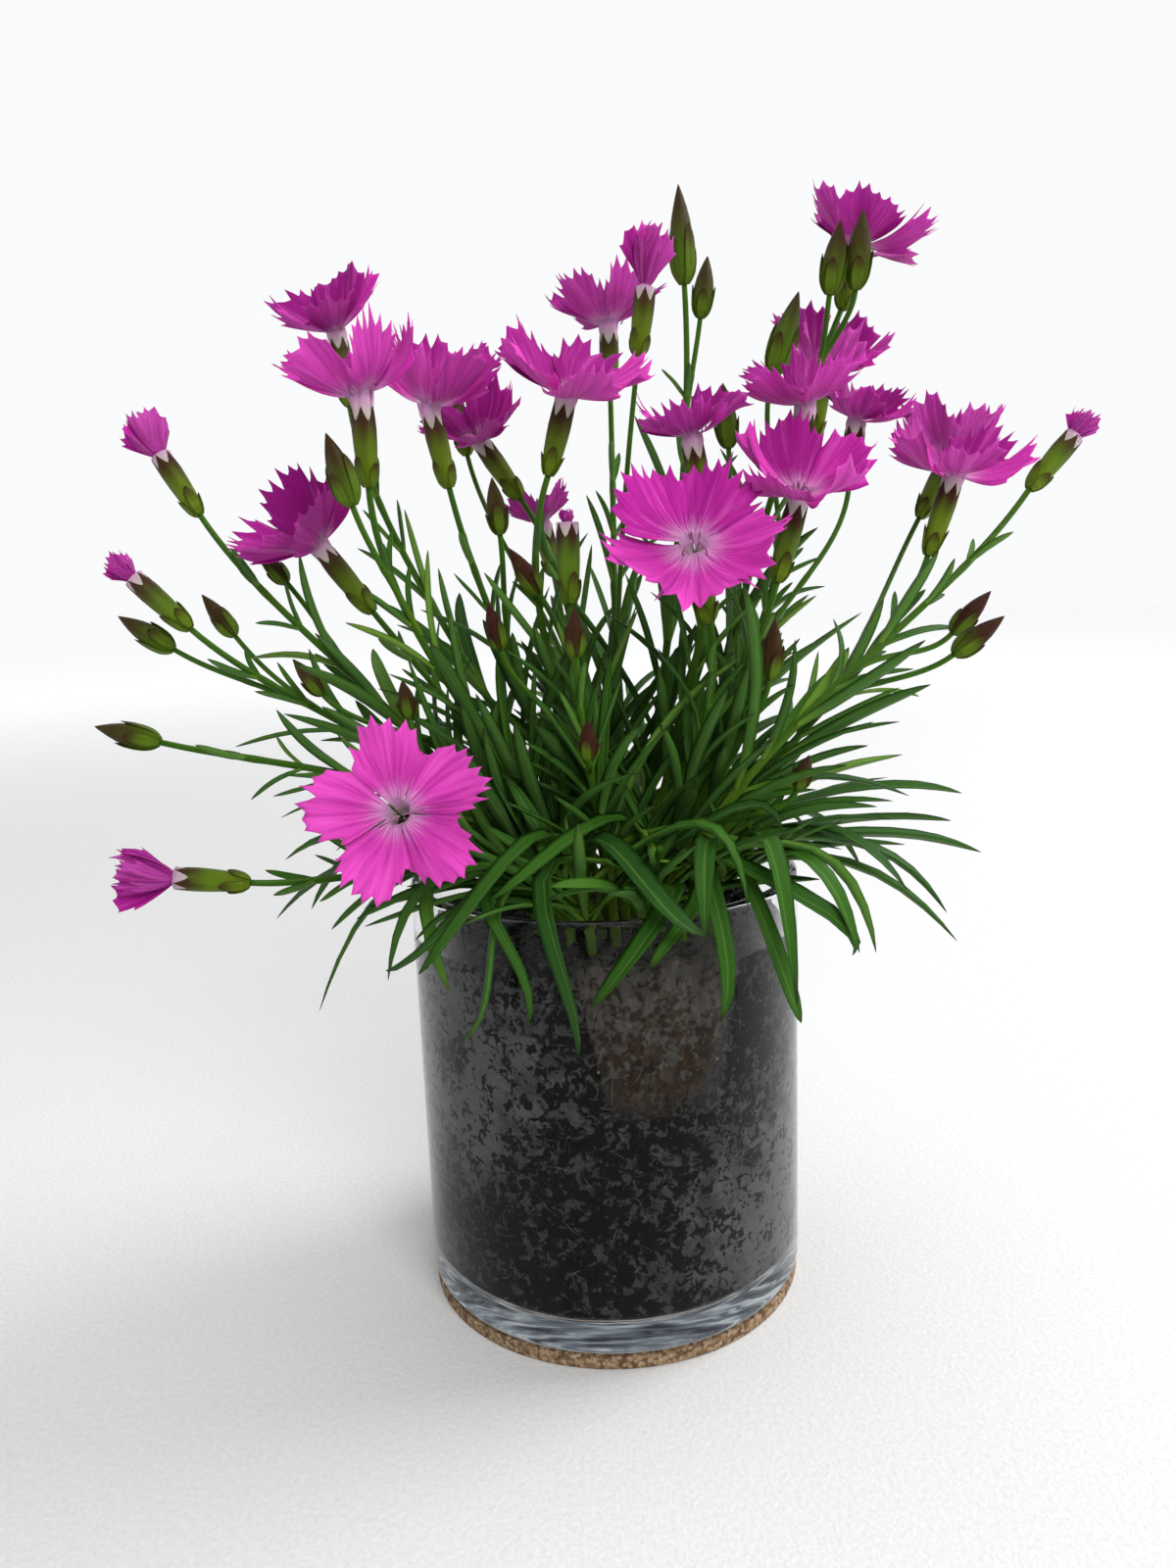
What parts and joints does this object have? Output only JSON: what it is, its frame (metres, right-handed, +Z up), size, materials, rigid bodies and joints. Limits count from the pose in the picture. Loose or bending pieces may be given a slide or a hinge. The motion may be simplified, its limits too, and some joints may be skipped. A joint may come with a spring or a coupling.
{
  "type": "dianthus plant in a glass pot",
  "caption": "Flowering dianthus with toothed pink petals, pointed buds and narrow leaves, planted in a straight clear glass pot on a cork disc.",
  "frame": {"origin": "centre of the cork disc's underside, on the surface that it stands on", "axes": "+Z up along the pot's axis, -Y towards the front of the plant, +X to the right seen from the front"},
  "size_m": [0.2278, 0.128, 0.256],
  "materials": {
    "cork": "granular pressed cork, matt",
    "clear_glass": "clear soda glass, polished",
    "potting_soil": "moist crumbly potting soil, matt",
    "matted_roots": "fibrous roots and peat, matt",
    "leaf_green": "living leaf with a waxy bloom, satin",
    "petal_magenta": "living petal, soft velvet sheen"
  },
  "bodies": {
    "root": {"bloom_01": "petal_magenta", "bloom_02": "petal_magenta", "bloom_03": "petal_magenta", "bloom_04": "petal_magenta", "bloom_05": "petal_magenta", "bloom_06": "petal_magenta", "bloom_07": "petal_magenta", "bloom_08": "petal_magenta", "bloom_09": "petal_magenta", "bloom_10": "petal_magenta", "bloom_11": "petal_magenta", "bloom_12": "petal_magenta", "bloom_13": "petal_magenta", "bloom_14": "petal_magenta", "bloom_15": "petal_magenta", "bloom_16": "petal_magenta", "bloom_17": "petal_magenta", "bloom_18": "petal_magenta", "bloom_19": "petal_magenta", "cork_disc": "cork", "glass_pot": "clear_glass", "opening_bud_01": "petal_magenta", "opening_bud_02": "petal_magenta", "opening_bud_03": "petal_magenta", "opening_bud_04": "petal_magenta", "opening_bud_05": "petal_magenta", "opening_bud_06": "petal_magenta", "potting_soil": "potting_soil", "root_plug": "matted_roots", "shoot_far_right": "leaf_green", "shoot_front_big": "leaf_green", "shoot_front_left_face": "leaf_green", "shoot_front_middle": "leaf_green", "shoot_left_back": "leaf_green", "shoot_left_front_high": "leaf_green", "shoot_left_low": "leaf_green", "shoot_left_middle": "leaf_green", "shoot_left_nodding": "leaf_green", "shoot_left_outer": "leaf_green", "shoot_left_rim": "leaf_green", "shoot_middle_back": "leaf_green", "shoot_middle_bud": "leaf_green", "shoot_middle_high": "leaf_green", "shoot_middle_left_back": "leaf_green", "shoot_middle_left_high": "leaf_green", "shoot_middle_right_back": "leaf_green", "shoot_right_back_high": "leaf_green", "shoot_right_front_high": "leaf_green", "shoot_right_outer": "leaf_green", "shoot_right_pair": "leaf_green", "shoot_small_back": "leaf_green", "shoot_tall_bud": "leaf_green", "shoot_top_right": "leaf_green", "tuft_020": "leaf_green", "tuft_075": "leaf_green", "tuft_135": "leaf_green", "tuft_195": "leaf_green", "tuft_240": "leaf_green", "tuft_282": "leaf_green", "tuft_330": "leaf_green"}
  },
  "joints": []
}
